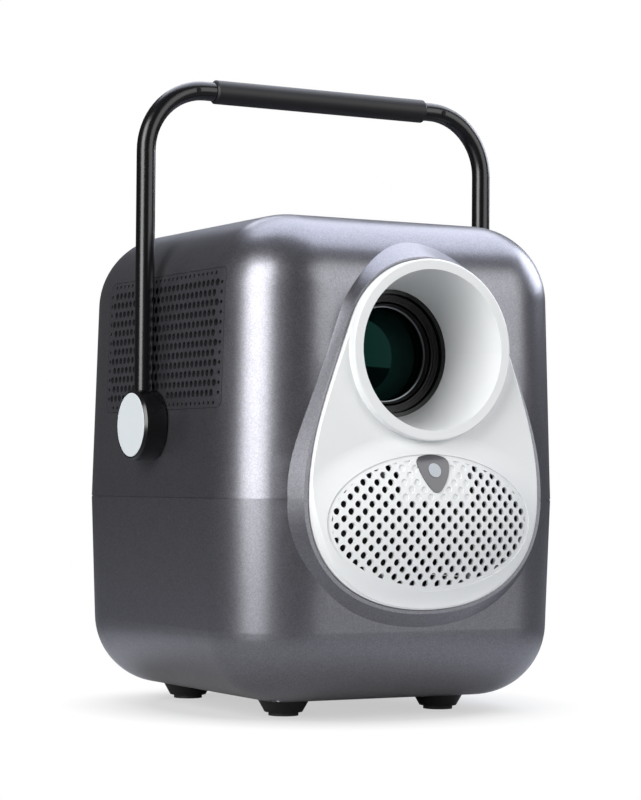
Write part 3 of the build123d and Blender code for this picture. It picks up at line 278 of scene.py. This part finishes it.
def coated_glass(name, body, tint, mirror):
    """Dark glass with an anti-reflection coating that leaves a weak tinted reflection."""
    material, output = new_material(name)
    place = add(material, "ShaderNodeTexCoord")
    wipe = add(material, "ShaderNodeTexNoise", {"Scale": 1 / wipe_size, "Detail": 3.0},
               Vector=place.outputs["Object"])
    gloss = add(material, "ShaderNodeMapRange", {"To Min": polish_finest, "To Max": polish_wiped},
                Value=wipe.outputs["Fac"])
    glass = add(material, "ShaderNodeBsdfPrincipled",
                {"Base Color": linear(body), "IOR": 1.5, "Specular IOR Level": mirror,
                 "Specular Tint": linear(tint)},
                Roughness=gloss.outputs["Result"])
    return finish_material(material, output, glass)


lens_glass = coated_glass("coated_lens_glass", "#010303", "#5fd8c4", 0.15)
print("glass:", lens_glass.name)

# %% [markdown]
# ## Finishes on the parts
# Each loaded part keeps its shape and gets one finish in its material slot.

# %% Assign the finishes
finishes = {
    case_paint: ("upper_case", "lower_case"),
    grille_paint: ("left_vent_grille", "right_vent_grille", "tray_bezel"),
    white_abs: ("front_panel",),
    cap_abs: ("left_hub_cap", "right_hub_cap"),
    black_gloss_abs: ("left_hub", "right_hub", "lens_barrel", "eject_button", "audio_jacks",
                      "power_rocker", "key_plate"),
    black_abs: ("feet", "lens_cell", "focus_ring", "engine_housing", "fan_frames", "left_fan_rotor",
                "right_fan_rotor", "disc_tray", "spindle_turntable", "rear_panel", "power_inlet",
                "switch_housing"),
    black_enamel: ("handle_tube",),
    grip_rubber: ("handle_grip",),
    pad_rubber: ("foot_pads",),
    sensor_plastic: ("sensor_window",),
    sensor_eye: ("sensor_lens",),
    foam: ("dust_filters",),
    board_resist: ("main_board", "power_supply", "key_board"),
    key_abs: ("power_key", "volume_down_key", "play_key", "volume_up_key", "source_key"),
    # the speaker cones and frames carry painted shade: their colours are darkened for the shade behind the
    # grille holes
    cones_with_painted_shade: ("speaker_cones",),
    lens_glass: ("lens_elements",),
    steel_with_painted_shade: ("grip_pins", "speaker_frames"),
    steel: ("pivot_studs", "focus_motor", "drive_chassis", "tray_rails",
            "guide_rods", "lead_screw", "tray_motors", "hdmi_usb_ports", "case_screws"),
    aluminium: ("led_module", "heat_sink", "pickup_sled"),
    brass: ("focus_pinion",),
    clear_plastic: ("lcd_panel", "condenser_optics"),
}
for material, names in finishes.items():
    for name in names:
        nodes[name].data.materials.clear()
        nodes[name].data.materials.append(material)
given = sorted(name for names in finishes.values() for name in names)
print("parts with a finish:", len(given), "of", len(nodes), "missing:", sorted(set(nodes) - set(given)))

# %% [markdown]
# ## Rings round the glass
# The hood looks into a black stepped baffle, which catches stray light, and a thin satin ring
# that holds the glass. Each is turned: a circle is drawn out edge by edge along a profile of
# radius and depth, and closed on itself. They ride on the lens, so they move when it focuses.

# %% Turned rings
lens_height = 186.2 * mm
cell_face = min(corner[1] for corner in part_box("lens_cell"))
print("front of the lens cell in metres:", round(cell_face, 4))


def turned_ring(name, profile, material, centre, axis, sides=96):
    """A ring drawn from a circle along a closed profile of (radius, distance along the axis)."""
    bpy.ops.object.select_all(action="DESELECT")
    along = Vector(axis)
    turn = (pi / 2, 0, 0) if axis[1] else (0, 0, 0)
    radius, depth = profile[0]
    bpy.ops.mesh.primitive_circle_add(vertices=sides, radius=radius, rotation=turn,
                                      location=Vector(centre) + along * depth)
    ring = bpy.context.object
    ring.name = name
    bpy.ops.object.transform_apply(location=True, rotation=True, scale=True)
    bpy.ops.object.mode_set(mode="EDIT")
    bpy.ops.mesh.select_all(action="SELECT")
    for next_radius, next_depth in profile[1:] + profile[:1]:
        step = along * (next_depth - depth)
        bpy.ops.mesh.extrude_region_move(TRANSFORM_OT_translate={"value": step})
        growth = next_radius / radius
        stretch = [1.0 if part else growth for part in axis]
        bpy.ops.transform.resize(value=stretch, center_override=Vector(centre) + along * next_depth)
        radius, depth = next_radius, next_depth
    bpy.ops.mesh.select_all(action="SELECT")
    bpy.ops.mesh.remove_doubles(threshold=0.001 * mm)
    bpy.ops.mesh.normals_make_consistent(inside=False)
    bpy.ops.object.mode_set(mode="OBJECT")
    bpy.ops.object.shade_smooth_by_angle(angle=radians(30))
    ring.data.materials.append(material)
    return ring


lens_centre = (0, cell_face, lens_height)
baffle_steps = 4
baffle_inner = 25.9 * mm
baffle_outer = 30.4 * mm
baffle_rise = 0.8 * mm
baffle_foot = 0.3 * mm
tread = (baffle_outer - baffle_inner) / baffle_steps
stairs = [(baffle_inner, baffle_foot)]
for step in range(baffle_steps):
    edge = baffle_inner + step * tread
    stairs += [(edge, -step * baffle_rise), (edge + tread, -step * baffle_rise)]
stairs.append((baffle_outer, baffle_foot))
baffle = turned_ring("lens_baffle", stairs, black_abs, lens_centre, (0, 1, 0))
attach(baffle, "lens")
retainer_profile = [(24.3 * mm, 3.4 * mm), (24.3 * mm, 2.7 * mm), (24.8 * mm, 2.5 * mm),
                    (25.3 * mm, 2.7 * mm), (25.3 * mm, 3.4 * mm)]
retainer = turned_ring("lens_retainer", retainer_profile, ring_steel, lens_centre, (0, 1, 0))
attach(retainer, "lens")
print("rings:", baffle.name, len(baffle.data.polygons), retainer.name, len(retainer.data.polygons))

# %% [markdown]
# ## Signs on the keys
# The five keys on the top carry plain printed signs: power, quieter, play, louder and source.
# Bars, rings and a triangle make all five, as thin prints that ride on their keys.

# %% Key signs
print_white = moulded("white_pad_print", "#d8dadc", 0.45, 0.4, 0.004)
sign_thickness = 0.12 * mm
bar_length = 5.0 * mm
bar_width = 0.8 * mm
power_radius = 2.4 * mm
play_radius = 2.9 * mm
source_radius = 3.0 * mm
round_sides = 48


def key_top(name):
    """The middle of a key's upper face."""
    low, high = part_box(name)
    return Vector(((low[0] + high[0]) / 2, (low[1] + high[1]) / 2, high[2]))


def sign_bar(name, centre, length, width):
    """A thin printed bar with softened edges."""
    bpy.ops.object.select_all(action="DESELECT")
    bpy.ops.mesh.primitive_cube_add(size=1, location=centre, scale=(length, width, sign_thickness))
    bar = bpy.context.object
    bar.name = name
    bpy.ops.object.transform_apply(location=True, rotation=True, scale=True)
    bpy.ops.object.mode_set(mode="EDIT")
    bpy.ops.mesh.select_all(action="SELECT")
    bpy.ops.mesh.bevel(offset=sign_thickness / 4, segments=2)
    bpy.ops.object.mode_set(mode="OBJECT")
    bar.data.materials.append(print_white)
    return bar


def sign_ring(name, centre, outer, sides):
    """A thin printed outline with the given number of sides."""
    half = sign_thickness / 2
    inner = outer - bar_width
    profile = [(inner, -half), (outer, -half), (outer, half), (inner, half)]
    return turned_ring(name, profile, print_white, centre, (0, 0, 1), sides)


signs = [
    (sign_ring("power_sign_ring", key_top("power_key"), power_radius, round_sides), "power_key"),
    (sign_bar("power_sign_bar", key_top("power_key") + Vector((0, power_radius, 0)),
              bar_width, power_radius), "power_key"),
    (sign_bar("quieter_sign", key_top("volume_down_key"), bar_length, bar_width), "volume_down_key"),
    (sign_ring("play_sign", key_top("play_key"), play_radius, 3), "play_key"),
    (sign_bar("louder_sign_across", key_top("volume_up_key"), bar_length, bar_width), "volume_up_key"),
    (sign_bar("louder_sign_along", key_top("volume_up_key"), bar_width, bar_length), "volume_up_key"),
    (sign_ring("source_sign", key_top("source_key"), source_radius, 4), "source_key"),
]
for sign, key in signs:
    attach(sign, key)
print("signs on keys:", len(signs))

# %% [markdown]
# ## Floor and light
# Product photographs of this kind stand on seamless white. The floor is a wide sheet that is
# plain white to the camera away from the case, and keeps the soft shadow close under it. The
# sheet's own colour carries painted shade: pale near the case and grey further out, standing in
# for less light on the far floor, so that the paint's lower flanks mirror a darker studio.

# %% Floor
floor_half = 6.0
shadow_start, shadow_end = 0.09, 0.14
shadow_white = 0.55
# distances over which the paper's colour darkens to grey as painted shade
painted_shade_start, painted_shade_end = 0.15, 0.32
bpy.ops.object.select_all(action="DESELECT")
bpy.ops.mesh.primitive_plane_add(size=2 * floor_half, location=(0, 0, 0))
floor = bpy.context.object
floor.name = "studio_floor"
floor_material, floor_output = new_material("white_studio_paper")
floor_place = add(floor_material, "ShaderNodeTexCoord")
distance = add(floor_material, "ShaderNodeVectorMath", {"operation": "LENGTH"},
               Vector=floor_place.outputs["Object"])
paper_tone = add(floor_material, "ShaderNodeMapRange",
                 {"From Min": shadow_start, "From Max": shadow_end, "To Min": shadow_white, "To Max": 1.0},
                 Value=distance.outputs["Value"])
floor_ray = add(floor_material, "ShaderNodeLightPath")
seen = add(floor_material, "ShaderNodeMath", {"operation": "MULTIPLY"})
floor_material.node_tree.links.new(floor_ray.outputs["Is Camera Ray"], seen.inputs[0])
floor_material.node_tree.links.new(paper_tone.outputs["Result"], seen.inputs[1])
# painted shade: the paper's colour goes from pale to grey with distance, standing in for light falling off
# over the floor
painted_floor_shade = add(floor_material, "ShaderNodeMapRange", {"From Min": painted_shade_start, "From Max": painted_shade_end},
              Value=distance.outputs["Value"])
paper_colour_with_painted_shade = add(floor_material, "ShaderNodeMixRGB",
                   {"Color1": linear("#c8c8c8"), "Color2": linear("#6c6c6c")},
                   Fac=painted_floor_shade.outputs["Result"])
paper = add(floor_material, "ShaderNodeBsdfDiffuse", {}, Color=paper_colour_with_painted_shade.outputs["Color"])
plain_white = add(floor_material, "ShaderNodeEmission", {"Color": linear("#ffffff"), "Strength": 1.0})
floor_shader = add(floor_material, "ShaderNodeMixShader")
floor_material.node_tree.links.new(seen.outputs["Value"], floor_shader.inputs[0])
floor_material.node_tree.links.new(paper.outputs[0], floor_shader.inputs[1])
floor_material.node_tree.links.new(plain_white.outputs[0], floor_shader.inputs[2])
finish_material(floor_material, floor_output, floor_shader)
floor.data.materials.append(floor_material)
print("floor side in metres:", 2 * floor_half)

# %% [markdown]
# The lamps stand where the highlights of the paint ask for them. A tall box on the left draws
# the bright stripe on the case's front corner, a wide one overhead lights the top edge, a small
# one on the right catches the far corner, and a weak one in front fills the white moulding.

# %% Lights
def soft_box(name, place, aim, width, height, power, colour="#ffffff"):
    """A rectangular soft box at a place, turned to shine at a point."""
    data = bpy.data.lights.new(name, "AREA")
    data.shape = "RECTANGLE"
    data.size = width
    data.size_y = height
    data.energy = power
    data.color = linear(colour)[:3]
    lamp = bpy.data.objects.new(name, data)
    bpy.context.scene.collection.objects.link(lamp)
    direction = Vector(aim) - Vector(place)
    lamp.rotation_euler = direction.to_track_quat("-Z", "Y").to_euler()
    lamp.location = place
    return lamp


room_light = 0.075
world = bpy.data.worlds.new("studio")
bpy.context.scene.world = world
world.use_nodes = True
world_nodes = world.node_tree
background = world_nodes.nodes["Background"]
background.inputs["Color"].default_value = linear("#ffffff")
background.inputs["Strength"].default_value = room_light
ray = world_nodes.nodes.new("ShaderNodeLightPath")
white = world_nodes.nodes.new("ShaderNodeBackground")
white.inputs["Color"].default_value = linear("#ffffff")
mix = world_nodes.nodes.new("ShaderNodeMixShader")
world_nodes.links.new(ray.outputs["Is Camera Ray"], mix.inputs[0])
world_nodes.links.new(background.outputs[0], mix.inputs[1])
world_nodes.links.new(white.outputs[0], mix.inputs[2])
world_nodes.links.new(mix.outputs[0], world_nodes.nodes["World Output"].inputs["Surface"])

middle = (0, 0, 0.15)
cool_white = "#e8ecfa"
soft_box("left_box", (-1.86, -0.76, 0.70), middle, 1.2, 2.0, 60)
soft_box("top_box", (0.58, 0.55, 1.90), middle, 2.5, 2.1, 60, cool_white)
soft_box("right_box", (1.84, 0.39, 0.95), middle, 1.1, 0.8, 18, cool_white)
soft_box("front_right_box", (1.25, -1.95, 0.85), middle, 2.0, 2.0, 31)
print("soft boxes:", len(bpy.data.lights))
